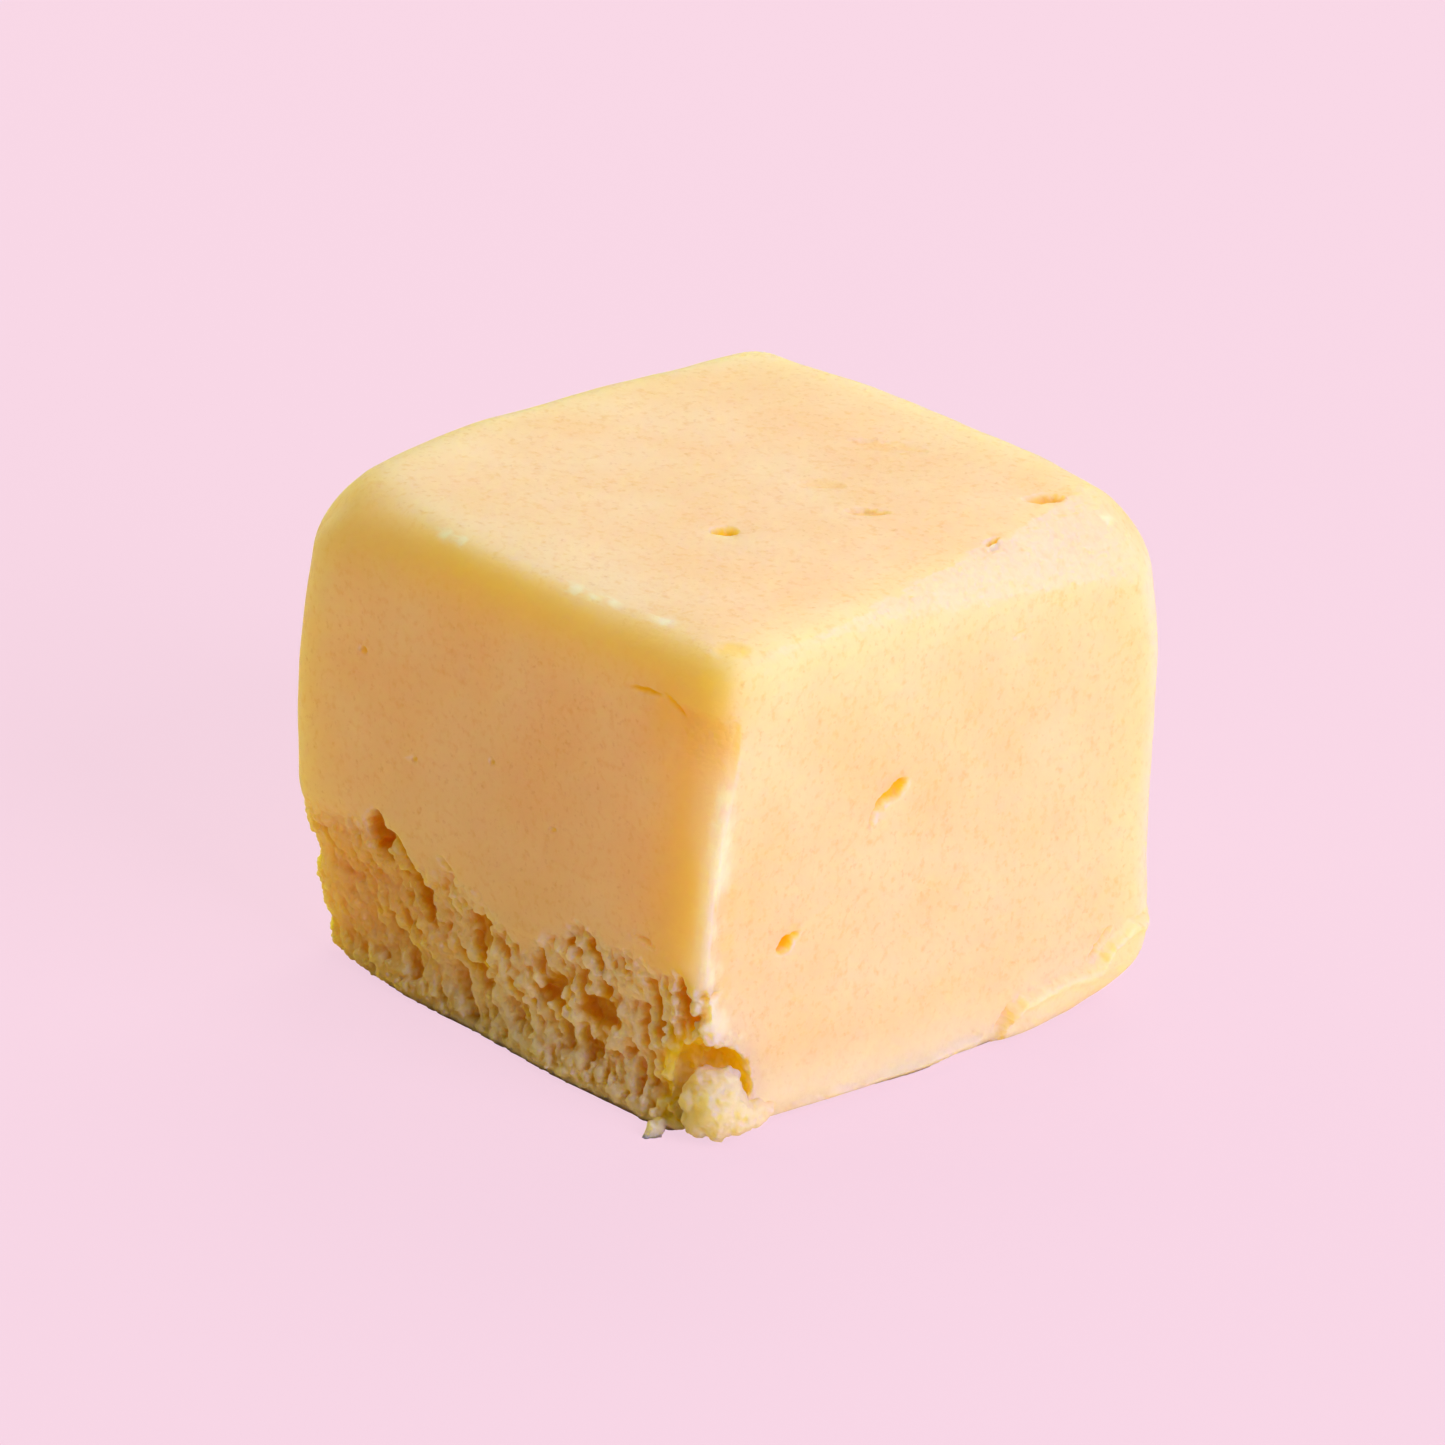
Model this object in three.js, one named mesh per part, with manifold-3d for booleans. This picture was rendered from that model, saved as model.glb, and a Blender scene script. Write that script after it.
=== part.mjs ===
// A hand-cut cube of butter fudge, one solid that stands on its flat base at Z = 0.
// Millimetres, +Z up. The cube is a little out of square, its edges are worn round, and
// each corner is worn by its own amount. The lower part of the -Y side is torn, as fudge
// tears where a blunt knife drags, and a crumb clings to the foot of the +X -Y edge.

import * as THREE from "three";
import { ImprovedNoise } from "three/addons/math/ImprovedNoise.js";
import { mergeVertices } from "three/addons/utils/BufferGeometryUtils.js";
import Module from "manifold-3d";

const { smoothstep, degToRad } = THREE.MathUtils;

// The cube as it was cut, before its corners wore.
const width = 26.0; // along X
const length = 27.2; // along Y
const height = 22.8; // along Z
const edgeRadius = 2.3;
const smallestRadius = 0.7;

// Each corner's side along X, Y and Z, the radius it has worn to, and how far it has moved.
const corners = [
  { side: [1, -1, 1], radius: 1.9, shift: [0.8, 0.4, -0.8] },
  { side: [-1, -1, 1], radius: 4.5, shift: [-0.6, -0.7, -0.2] },
  { side: [1, 1, 1], radius: 4.0, shift: [-0.1, 0.3, 0.2] },
  { side: [-1, 1, 1], radius: 2.9, shift: [0.1, 0, -0.3] },
  { side: [1, -1, -1], radius: 1.4, shift: [-0.2, -0.1, 0] },
  { side: [-1, -1, -1], radius: 2.6, shift: [0.2, 0.3, 0] },
  { side: [1, 1, -1], radius: 3.6, shift: [0.9, 0.4, 0] },
  { side: [-1, 1, -1], radius: 2.4, shift: [0, 0, 0] },
];

// The middles of the edges that are crisper than the rest.
const crispEdges = [
  { side: [1, -1, 0], radius: 1.5 },
  { side: [0, -1, 1], radius: 1.6 },
  { side: [0, -1, -1], radius: 1.2 },
  { side: [1, 0, -1], radius: 0.9 },
  { side: [0, 1, -1], radius: 1.1 },
  { side: [-1, 0, -1], radius: 1.1 },
];
const wearReach = 11; // each of these radii fades into the edge radius over this distance

// Grid lines along each axis, as stops of [line, millimetres from the lowest side].
// They lie closer in the worn edges and where the cube is torn.
const gridX = [[0, 0], [4, 3], [26, width - 3], [30, width]];
const gridY = [[0, 0], [5, 3], [9, 7], [20, length - 3], [24, length]];
const gridZ = [[0, 0], [4, 3], [14, 10], [21, height - 3], [25, height]];

// The -Y side: below tornTop the smooth skin is gone and upright crumbs stand out.
const tornTop = 8.4;
const tornDip = { x: 1.8, reach: 2.4, depth: 2.2 }; // the smooth skin reaches lower here
const tornDepth = 0.45;
const cragSize = { across: 1.5, up: 3.0, lean: degToRad(12) };
const cragDepth = 0.55;

// Holes in the torn side: middle, half width, half height, lean in degrees and depth.
const tornHollows = [
  { x: -6.9, z: 8.1, halfWidth: 1.1, halfHeight: 1.3, lean: 0, depth: 1.8 },
  { x: -4.7, z: 6.1, halfWidth: 0.9, halfHeight: 1.9, lean: 18, depth: 1.3 },
  { x: -6.1, z: 3.1, halfWidth: 0.8, halfHeight: 1.5, lean: 10, depth: 0.9 },
  { x: -1.3, z: 4.1, halfWidth: 0.8, halfHeight: 2.0, lean: 15, depth: 0.9 },
  { x: 3.2, z: 4.8, halfWidth: 0.8, halfHeight: 1.4, lean: 5, depth: 1.0 },
  { x: 6.8, z: 4.4, halfWidth: 1.0, halfHeight: 1.5, lean: -10, depth: 1.3 },
  { x: 11.2, z: 5.2, halfWidth: 0.7, halfHeight: 3.2, lean: 6, depth: 1.1 },
];

// Pits and dents: the outward side, the middle on it, half width and depth.
const pits = [
  { side: [1, 0, 0], at: [13, -3.9, 14.3], halfWidth: 0.9, depth: 0.9 },
  { side: [1, 0, 0], at: [13, -9.5, 9.3], halfWidth: 0.7, depth: 0.5 },
  { side: [0, 0, 1], at: [3.3, -4.4, height], halfWidth: 0.9, depth: 0.8 },
  { side: [0, 0, 1], at: [1.2, 7.3, height], halfWidth: 2.0, depth: 0.25 },
  { side: [0, 0, 1], at: [10, 7.7, height], halfWidth: 1.6, depth: 0.35 },
];

// The upper +X edge is rubbed off flat and crumbly between these two places on Y.
const rubbedEdge = { from: -4, to: 11, depth: 0.7 };

// A thin lip was pressed out at the foot of the +X side, towards +Y.
const footLip = { from: 3, to: 12, top: 3.2, rise: 0.35 };

// The smooth sides wave a little, as cut fudge does.
const wave = { size: 9, depth: 0.16 };

// The crumb at the foot of the +X -Y edge and the crack that parts it from the cube.
const crumb = { at: [11.9, -10.9, 1.8], radius: 2.1, bump: 0.35, detail: 3 };
const crack = { radius: 3.1, halfWidth: 0.7, depth: 0.9 };

const noise = new ImprovedNoise();

// The millimetres at a grid line, by straight steps between the stops.
function gridPlace(stops, line) {
  const next = stops.findIndex(([stop]) => stop >= line - 1e-6);
  if (next === 0) return stops[0][1];
  const [line0, place0] = stops[next - 1];
  const [line1, place1] = stops[next];
  return THREE.MathUtils.mapLinear(line, line0, line1, place0, place1);
}

// A closed box whose vertices lie where the grid lines cross, centred on the Z axis.
function gridBox() {
  const stops = [gridX, gridY, gridZ];
  const lines = stops.map((axis) => axis.at(-1)[0]);
  const box = new THREE.BoxGeometry(...lines, ...lines);
  box.deleteAttribute("normal");
  box.deleteAttribute("uv");
  const geometry = mergeVertices(box, 1e-4);
  forEachVertex(geometry, (point) => {
    point.fromArray(
      stops.map((axis, i) => {
        const line = point.getComponent(i) + lines[i] / 2;
        return gridPlace(axis, line) - axis.at(-1)[1] / 2;
      }),
    );
    point.z += height / 2;
  });
  return geometry;
}

// Lets change(point, index) move each vertex.
function forEachVertex(geometry, change) {
  const position = geometry.getAttribute("position");
  const point = new THREE.Vector3();
  for (let i = 0; i < position.count; i++) {
    change(point.fromBufferAttribute(position, i), i);
    position.setXYZ(i, ...point);
  }
}

// A smooth bump of height 1 in the middle that is 0 from distance 1 outwards.
const bell = (distance) => smoothstep(1 - Math.min(distance, 1), 0, 1);

// A corner of the sharp cube, or the middle of an edge where one side is 0.
const placeOf = ([x, y, z]) =>
  new THREE.Vector3((x * width) / 2, (y * length) / 2, ((z + 1) * height) / 2);

// The wear radius at a point of the sharp cube, from the corners and edges near it.
function wearRadius(point) {
  let radius = edgeRadius;
  for (const { side, radius: own } of [...corners, ...crispEdges]) {
    const near = bell(point.distanceTo(placeOf(side)) / wearReach);
    radius += (own - edgeRadius) * near;
  }
  return Math.max(radius, smallestRadius);
}

// Rounds the sharp cube: each point keeps the wear radius from a smaller box inside.
function wearRound(point) {
  const radius = wearRadius(point);
  const inner = point.clone();
  inner.clamp(
    new THREE.Vector3(radius - width / 2, radius - length / 2, radius),
    new THREE.Vector3(width / 2 - radius, length / 2 - radius, height - radius),
  );
  const outward = point.clone().sub(inner).setLength(radius);
  point.copy(inner).add(outward);
}

// Moves the corners, and everything between them in proportion.
function skew(point) {
  const share = new THREE.Vector3(
    point.x / width + 0.5,
    point.y / length + 0.5,
    point.z / height,
  );
  const moved = new THREE.Vector3();
  for (const { side, shift } of corners) {
    const weight = side.reduce((product, s, i) => {
      const part = share.getComponent(i);
      return product * (s > 0 ? part : 1 - part);
    }, 1);
    moved.addScaledVector(new THREE.Vector3(...shift), weight);
  }
  point.add(moved);
}

// How much a surface with this normal belongs to the side that faces along outward.
const facing = (normal, outward) => smoothstep(normal.dot(outward), 0.35, 0.8);

const front = new THREE.Vector3(0, -1, 0);
const right = new THREE.Vector3(1, 0, 0);

// Turns (x, z) by lean and measures it in half sizes, so that 1 is an ellipse's rim.
function ellipseDistance(x, z, { halfWidth, halfHeight, lean }) {
  const angle = degToRad(lean);
  const across = x * Math.cos(angle) + z * Math.sin(angle);
  const up = z * Math.cos(angle) - x * Math.sin(angle);
  return Math.hypot(across / halfWidth, up / halfHeight);
}

// How deep the torn -Y side lies under the smooth cube.
function tornRelief({ x, z }, normal) {
  const dip = tornDip.depth * bell(Math.abs(x - tornDip.x) / tornDip.reach);
  const jag = 0.8 * noise.noise(x / 1.9, 7.3, 0.5);
  const torn = 1 - smoothstep(z, tornTop - dip + jag - 0.6, tornTop - dip + jag + 0.6);
  if (torn === 0) return 0;
  const lean = x + z * Math.tan(cragSize.lean);
  const crag = noise.noise(lean / cragSize.across, 3.1, z / cragSize.up);
  let depth = tornDepth - cragDepth * crag;
  for (const hollow of tornHollows) {
    const distance = ellipseDistance(x - hollow.x, z - hollow.z, hollow);
    depth += hollow.depth * bell(distance / 1.4);
  }
  return depth * torn * smoothstep(normal.dot(front), 0.1, 0.6);
}

// Pits, dents, the rubbed edge and the foot lip.
function sideRelief(point, normal) {
  let depth = 0;
  for (const { side, at, halfWidth, depth: own } of pits) {
    const outward = new THREE.Vector3(...side);
    const away = point.clone().sub(new THREE.Vector3(...at)).projectOnPlane(outward);
    depth += own * bell(away.length() / (1.5 * halfWidth)) * facing(normal, outward);
  }
  const { x, y, z } = point;
  const along = smoothstep(y, rubbedEdge.from, 2) * (1 - smoothstep(y, 8, rubbedEdge.to));
  const onEdge = smoothstep(normal.x, 0.25, 0.6) * smoothstep(normal.z, 0.25, 0.6);
  depth += rubbedEdge.depth * along * onEdge * (1 + noise.noise(y / 1.3, z / 1.3, x / 1.3));
  const lip = smoothstep(y, footLip.from, footLip.from + 1.5);
  const lipTop = footLip.top + 1.6 * smoothstep(y, 8, 10);
  depth -= footLip.rise * lip * (1 - smoothstep(z, lipTop - 1, lipTop)) * facing(normal, right);
  return depth;
}

// The crack round the upper half of the crumb.
function crackRelief(point) {
  const away = point.clone().sub(new THREE.Vector3(...crumb.at));
  const ring = Math.abs(away.length() - crack.radius) / crack.halfWidth;
  return crack.depth * bell(ring / 1.3) * smoothstep(away.z, -0.5, 1);
}

// The cube with its relief. The base keeps its sharp flat face: only points above it move.
function makeCube() {
  const geometry = gridBox();
  forEachVertex(geometry, (point) => {
    wearRound(point);
    skew(point);
  });
  geometry.computeVertexNormals();
  const normals = geometry.getAttribute("normal");
  const normal = new THREE.Vector3();
  forEachVertex(geometry, (point, i) => {
    normal.fromBufferAttribute(normals, i);
    const size = wave.size;
    const ripple = wave.depth * noise.noise(point.x / size, point.y / size, point.z / size);
    const offBase = smoothstep(point.z, 0, 0.8);
    const depth =
      tornRelief(point, normal) + sideRelief(point, normal) + crackRelief(point) + ripple;
    point.addScaledVector(normal, -depth * offBase);
    point.z = Math.max(point.z, 0);
  });
  geometry.deleteAttribute("normal");
  return geometry;
}

// The clinging crumb: a ball with a bumpy surface, cut flat where it meets the table.
function makeCrumb() {
  const ball = new THREE.IcosahedronGeometry(crumb.radius, crumb.detail);
  ball.deleteAttribute("normal");
  ball.deleteAttribute("uv");
  const geometry = mergeVertices(ball, 1e-4);
  forEachVertex(geometry, (point) => {
    const swell = 1 + (crumb.bump / crumb.radius) * noise.noise(point.x, point.y, point.z);
    point.multiplyScalar(swell).add(new THREE.Vector3(...crumb.at));
    point.z = Math.max(point.z, 0.05);
  });
  return geometry;
}

const wasm = await Module();
wasm.setup();

function toSolid(geometry) {
  return new wasm.Manifold(
    new wasm.Mesh({
      numProp: 3,
      vertProperties: geometry.getAttribute("position").array,
      triVerts: new Uint32Array(geometry.index.array),
    }),
  );
}

function toGeometry(solid) {
  const mesh = solid.getMesh();
  const geometry = new THREE.BufferGeometry();
  geometry.setAttribute("position", new THREE.BufferAttribute(mesh.vertProperties, 3));
  geometry.setIndex(new THREE.BufferAttribute(mesh.triVerts, 1));
  return geometry;
}

// Puts the middle of the cube's box over the origin.
function centre(geometry) {
  geometry.computeBoundingBox();
  const middle = geometry.boundingBox.getCenter(new THREE.Vector3());
  geometry.translate(-middle.x, -middle.y, 0);
  return geometry;
}

const fudge = new THREE.Mesh(
  centre(toGeometry(toSolid(makeCube()).add(toSolid(makeCrumb())))),
  new THREE.MeshStandardMaterial({ color: 0xf6d6a2, roughness: 0.6, metalness: 0 }),
);
fudge.name = "fudge";

const group = new THREE.Group();
group.add(fudge);

export default group;
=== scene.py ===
# %% [markdown]
# # A cube of butter fudge
# Fudge is sugar and butter beaten until it sets into very fine grain. Cut by hand, it has
# smooth, slightly waxy sides, edges that wear round, and a crumbly tear where the knife
# dragged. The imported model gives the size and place, and this script gives the looks.

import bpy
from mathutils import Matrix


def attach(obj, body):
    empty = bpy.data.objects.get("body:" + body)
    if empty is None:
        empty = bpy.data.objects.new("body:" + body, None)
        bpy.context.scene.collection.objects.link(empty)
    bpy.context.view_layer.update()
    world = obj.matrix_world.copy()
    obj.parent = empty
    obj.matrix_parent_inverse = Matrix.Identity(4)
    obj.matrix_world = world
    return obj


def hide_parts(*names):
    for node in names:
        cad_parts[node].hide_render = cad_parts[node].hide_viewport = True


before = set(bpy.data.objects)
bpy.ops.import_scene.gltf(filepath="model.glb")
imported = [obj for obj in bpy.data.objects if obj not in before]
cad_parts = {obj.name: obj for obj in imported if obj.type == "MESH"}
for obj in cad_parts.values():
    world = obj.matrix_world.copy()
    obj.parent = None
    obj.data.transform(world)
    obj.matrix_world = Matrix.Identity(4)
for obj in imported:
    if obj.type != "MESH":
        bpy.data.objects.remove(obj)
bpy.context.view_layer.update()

import math

import bpy
import numpy as np
from mathutils import Matrix, Vector, bvhtree, noise

MM = 0.001
scene = bpy.context.scene

# %% [markdown]
# ## Camera
# The photograph looks at the cube's front edge from a little above. Its upright edges are
# almost parallel, which only a long lens from far away gives. The aim and the lens are set
# in numbers, found by matching the cube's edges, and not by turning the view by eye.

# %% The camera
CAMERA_AZIMUTH = 44.3   # degrees round from the -Y side
CAMERA_HEIGHT = 23.0    # degrees above the horizon
CAMERA_ROLL = 3.5       # degrees, the photograph isn't quite level
CAMERA_DISTANCE = 512 * MM
CAMERA_AIM = Vector((0, 0, 11.42 * MM))
FRAME_PIXELS = 1445
FOCAL_PIXELS = 12049    # focal length in pixels of the frame
AIM_RIGHT = 6.45        # pixels from the frame's middle to the aim point
AIM_DOWN = 4.2
SENSOR = 36


def way_out(azimuth, height):
    """The direction out from the cube, from degrees round and degrees up."""
    a, h = math.radians(azimuth), math.radians(height)
    return Vector((math.sin(a) * math.cos(h), -math.cos(a) * math.cos(h), math.sin(h)))


def aim_camera():
    """A camera that looks at the aim point, with the lens shifted to frame it."""
    back = way_out(CAMERA_AZIMUTH, CAMERA_HEIGHT)
    level = way_out(CAMERA_AZIMUTH + 90, 0)
    roll = math.radians(CAMERA_ROLL)
    upright = back.cross(level)
    right = level * math.cos(roll) + upright * math.sin(roll)
    up = upright * math.cos(roll) - level * math.sin(roll)
    camera = bpy.data.objects.new("camera", bpy.data.cameras.new("camera"))
    scene.collection.objects.link(camera)
    turn = Matrix((right, up, back)).transposed().to_4x4()
    camera.matrix_world = Matrix.Translation(CAMERA_AIM + back * CAMERA_DISTANCE) @ turn
    camera.data.sensor_width = SENSOR
    camera.data.lens = FOCAL_PIXELS / FRAME_PIXELS * SENSOR
    camera.data.shift_x = -AIM_RIGHT / FRAME_PIXELS
    camera.data.shift_y = AIM_DOWN / FRAME_PIXELS
    camera.data.clip_start = 1 * MM
    scene.camera = camera
    return camera


camera = aim_camera()
print("lens in mm:", round(camera.data.lens, 1))

# %% [markdown]
# ## Small helpers
# Most steps move every point of the mesh by a short rule. A loop over single points would
# be slow, so they are read into one array, changed together and written back.


# %% Helpers for points
def read_points(piece):
    """All points of the piece in one array, a row of X, Y and Z for each."""
    points = np.empty(len(piece.data.vertices) * 3)
    piece.data.vertices.foreach_get("co", points)
    return points.reshape(-1, 3)


def write_points(piece, points):
    piece.data.vertices.foreach_set("co", points.ravel())
    piece.data.update()


def smooth(low, high, value):
    """0 below low, 1 above high, and an even S between."""
    share = np.clip((value - low) / (high - low), 0, 1)
    return share * share * (3 - 2 * share)


# %% [markdown]
# ## The worn cube
# A bevel gives an edge one radius along its whole length, but a hand-cut cube wears more at
# some corners than at others. So a primitive cube is subdivided in edit mode, and each
# point is then moved onto a rounding whose radius changes from place to place. The numbers
# are the ones that the solid was made from, in millimetres.

# %% Sizes of the worn cube
CUBE = np.array([26.0, 27.2, 22.8])
EDGE_RADIUS = 2.3
SMALLEST_RADIUS = 0.7
WEAR_REACH = 11.0   # how far from its place an own radius is felt

# side along X, Y and Z: (radius, how far the corner has moved)
CORNERS = {
    (1, -1, 1): (1.5, (0.8, 0.0, -0.8)),
    (-1, -1, 1): (4.5, (-0.6, -0.7, -0.2)),
    (1, 1, 1): (4.0, (-0.03, 0.33, 0.2)),
    (-1, 1, 1): (3.0, (0.3, 0.2, -0.3)),
    (1, -1, -1): (1.4, (-0.2, -0.5, 0)),
    (-1, -1, -1): (2.6, (0.2, 0.3, 0)),
    (1, 1, -1): (3.9, (1.35, 0.85, 0)),
    (-1, 1, -1): (2.4, (0, 0, 0)),
}
# places along the edges that are crisper than the rest: radius
CRISP_EDGES = {
    (1, -0.5, 1): 1.3,
    (1, -1, 0): 0.7,
    (0, -1, 1): 1.2,
    (0, -1, -1): 1.2,
    (1, 0, -1): 0.7,
    (0, 1, -1): 1.1,
    (-1, 0, -1): 1.1,
}
CUTS = 100   # how often each edge of the cube is cut
# the front edge is worn back on its shaded side only, up to a sharp ridge
FRONT_EDGE = CUBE * (0.5, -0.5, 0)
FRONT_STRETCH = np.array([3.3, 0.85, 1.0])
FRONT_REACH = 5.0
print("corners:", len(CORNERS), "crisp places:", len(CRISP_EDGES))


# %% Rules for the worn cube
def bell(distance):
    """1 in the middle, 0 from distance 1 outwards."""
    return smooth(0, 1, 1 - np.minimum(distance, 1))


def wear_radius(points):
    """How round the cube has worn near each point of the sharp cube, along X, Y and Z."""
    radius = np.full(len(points), EDGE_RADIUS)
    own_radii = {side: own for side, (own, _) in CORNERS.items()} | CRISP_EDGES
    for side, own in own_radii.items():
        place = np.array(side) * CUBE / 2
        near = bell(np.linalg.norm(points - place, axis=1) / WEAR_REACH)
        radius += (own - EDGE_RADIUS) * near
    from_front = np.linalg.norm((points - FRONT_EDGE) * (1, 1, 0), axis=1)
    near = bell(from_front / FRONT_REACH) * (1 - smooth(5.5, 9.5, points[:, 2]))
    stretch = 1 + (FRONT_STRETCH - 1) * near[:, None]
    return np.maximum(radius, SMALLEST_RADIUS)[:, None] * stretch


def wear_round(points):
    """Moves points of the sharp cube onto its rounding."""
    radius = wear_radius(points)
    inner = np.clip(points, radius - CUBE / 2, CUBE / 2 - radius)
    outward = (points - inner) / radius
    length = np.linalg.norm(outward, axis=1, keepdims=True)
    return inner + outward / length * radius


def skew(points):
    """Moves the corners, and everything between them in proportion."""
    share = points / CUBE + 0.5
    moved = np.zeros_like(points)
    for side, (_, shift) in CORNERS.items():
        parts = np.where(np.array(side) > 0, share, 1 - share)
        moved += parts.prod(axis=1)[:, None] * np.array(shift)
    return points + moved


# %% Make the worn cube
bpy.ops.object.select_all(action="DESELECT")
bpy.ops.mesh.primitive_cube_add(size=1, scale=CUBE)
block = bpy.context.object
block.name = "fudge_block"
bpy.ops.object.transform_apply(location=False, rotation=False, scale=True)
bpy.ops.object.mode_set(mode="EDIT")
bpy.ops.mesh.select_all(action="SELECT")
bpy.ops.mesh.subdivide(number_cuts=CUTS)
bpy.ops.object.mode_set(mode="OBJECT")

points = skew(wear_round(read_points(block)))
points[:, 2] += CUBE[2] / 2
write_points(block, points)
print("worn cube:", len(points), "points")

# %% [markdown]
# ## Waves
# No side of hand-cut fudge is flat. A displace modifier could wave the sides, but the base
# has to stay flat where the tray pressed it, so each point is pushed along its own normal
# and the push fades out towards the base. The later steps use the same function. Noise
# from mathutils has a fixed pattern, so each run gives the same waves.

# %% Wave the sides
WAVE_SIZE = 8.0
WAVE_DEPTH = 0.14


def read_normals(piece):
    """The way the surface faces at each point."""
    normals = np.empty(len(piece.data.vertices) * 3, np.float32)
    piece.data.vertex_normals.foreach_get("vector", normals)
    return normals.reshape(-1, 3).astype(float)


def fractal(points, size, octaves=3, shift=0.0):
    """Cloudy noise from about -1 to 1; size is how far apart its lumps are."""
    return np.array([
        noise.fractal(Vector(p) + Vector((shift, shift, shift)), 1.0, 2.0, octaves)
        for p in points / size
    ])


def push(piece, depth, off_base=0.8):
    """Moves each point of the piece inwards by its depth, and keeps the base flat."""
    points, normals = read_points(piece), read_normals(piece)
    points -= normals * (depth * smooth(0.0, off_base, points[:, 2]))[:, None]
    points[:, 2] = np.maximum(points[:, 2], 0)
    write_points(piece, points)


push(block, WAVE_DEPTH * fractal(read_points(block), WAVE_SIZE))
print("waved, height in mm:", round(read_points(block)[:, 2].max(), 2))

# %% [markdown]
# The solid stands centred on its box, and the skewed corners moved that box a little. From
# here on every place is in the part's own frame, in millimetres from the middle of the base.

# %% Line the block up with the solid
TO_PART_FRAME = (-0.37, 0, 0)
write_points(block, read_points(block) + TO_PART_FRAME)
points = read_points(block)
print("reaches in mm:", points.min(axis=0).round(2), points.max(axis=0).round(2))

# %% [markdown]
# ## Wear along the outline
# The foot and the upright edges at the far left and right aren't straight, and an outline
# shows every step of a tenth of a millimetre. Noise wears them in random places, so each is
# worn back by an amount read from a short table, straight between its entries.

# %% Wear the foot and the far edges
# place along X: how far the foot of the shaded side is worn back
SHADED_FOOT_WEAR = {
    -12: 0.2, -10.7: 0.2, -8.7: -0.2, -6.4: -0.2, -3.8: 0.1, -1.3: 0.35, 1.2: 0.2,
    3.4: -0.1, 5.9: -0.15, 9: -0.05,
}
# place along Y: the same for the bright side
BRIGHT_FOOT_WEAR = {
    -10: -0.2, -6: -0.1, -3: 0.1, 0: 0.2, 2.1: 0.5, 5.5: 0.2, 8.6: 0.1, 11.3: 0.35, 13.5: 0.5,
}
# height: how far the far left edge is worn back
LEFT_EDGE_WEAR = {
    0.0: 0.3, 0.6: 0.5, 1.5: 0.85, 2.5: 0.9, 3.4: 0.62, 4.3: 0.62, 5.3: 0.7, 6.2: 0.25,
    7.1: 0.2, 8.0: 0.0,
}
# height: the same for the far right edge
RIGHT_EDGE_WEAR = {4.5: 0.0, 6.5: 0.25, 9: 0.35, 11.5: 0.4, 13.5: 0.3, 16: 0.05, 17.5: 0.0}


def along(table, values):
    """Reads a table of place: value at these places, straight between its entries."""
    return np.interp(values, list(table), list(table.values()))


def facing(normals, outward, low=0.35, high=0.8):
    """1 where the surface faces this way, 0 where it is turned from it."""
    return smooth(low, high, normals @ np.array(outward))


points, normals = read_points(block), read_normals(block)
low = 1 - smooth(0.5, 3.0, points[:, 2])
shaded = along(SHADED_FOOT_WEAR, points[:, 0]) * low * smooth(8, 12, -points[:, 1])
bright = along(BRIGHT_FOOT_WEAR, points[:, 1]) * low * smooth(8, 12, points[:, 0])
points += np.stack([-bright, shaded, 0 * low], axis=1)
write_points(block, points)
left_edge = facing(normals, (-0.7, -0.7, 0), 0.3, 0.85)
right_edge = facing(normals, (0.7, 0.7, 0), 0.3, 0.85)
push(block, left_edge * along(LEFT_EDGE_WEAR, points[:, 2])
     + right_edge * along(RIGHT_EDGE_WEAR, points[:, 2]))
print("worn back at most, in mm:", round(max(shaded.max(), bright.max()), 2))

# %% [markdown]
# ## A smooth copy to measure from
# The deep places of torn fudge get painted shade, darker and more golden than its crests.
# Curvature or ambient occlusion could find them, but the real depth is easy to have: a search
# tree of the untorn surface is kept here, and later it tells how deep each torn point lies.

# %% Keep the untorn surface
untorn = bvhtree.BVHTree.FromObject(block, bpy.context.evaluated_depsgraph_get())
print("faces in the tree:", len(block.data.polygons))


def depth_under_skin(points):
    """How far each point lies inside the untorn surface, less than 0 outside it."""
    depth = np.empty(len(points))
    for i, point in enumerate(points):
        place, normal, _, distance = untorn.find_nearest(point)
        depth[i] = math.copysign(distance, (place - Vector(point)).dot(normal))
    return depth


# %% [markdown]
# ## The tear
# Low on the left side the skin ends in a ragged line, and under it the fudge hangs in
# leaning columns with hollows between them. They could be sculpted by hand, but a rule is
# easier to adjust: the columns come from noise that is stretched along their lean, and the
# largest hollows are placed one by one.

# %% Sizes of the tear
# place along X: height where the smooth skin ends
SKIN_EDGE = {
    -12.5: 7.6, -8.5: 8.3, -6.2: 8.6, -4.8: 7.2, -2.3: 7.5, 0.0: 6.8,
    1.7: 5.6, 3.8: 7.1, 5.4: 8.2, 8.4: 8.0, 12.5: 7.6,
}
FLAKE_DEPTH = 0.04      # all over, where the skin is gone
CRUMBLE_DEPTH = 0.30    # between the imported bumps
GAP_DEPTH = 0.90        # between the columns
CRACK_SHARE = 0.5       # depth of the cracks across the columns, as a share of the gaps
COLUMN_WIDTH, COLUMN_HEIGHT = 0.90, 3.0
# place along X: how far a column runs sideways for each millimetre up
COLUMN_LEAN = {-6.0: 0.65, 10.0: 0.10}

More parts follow.
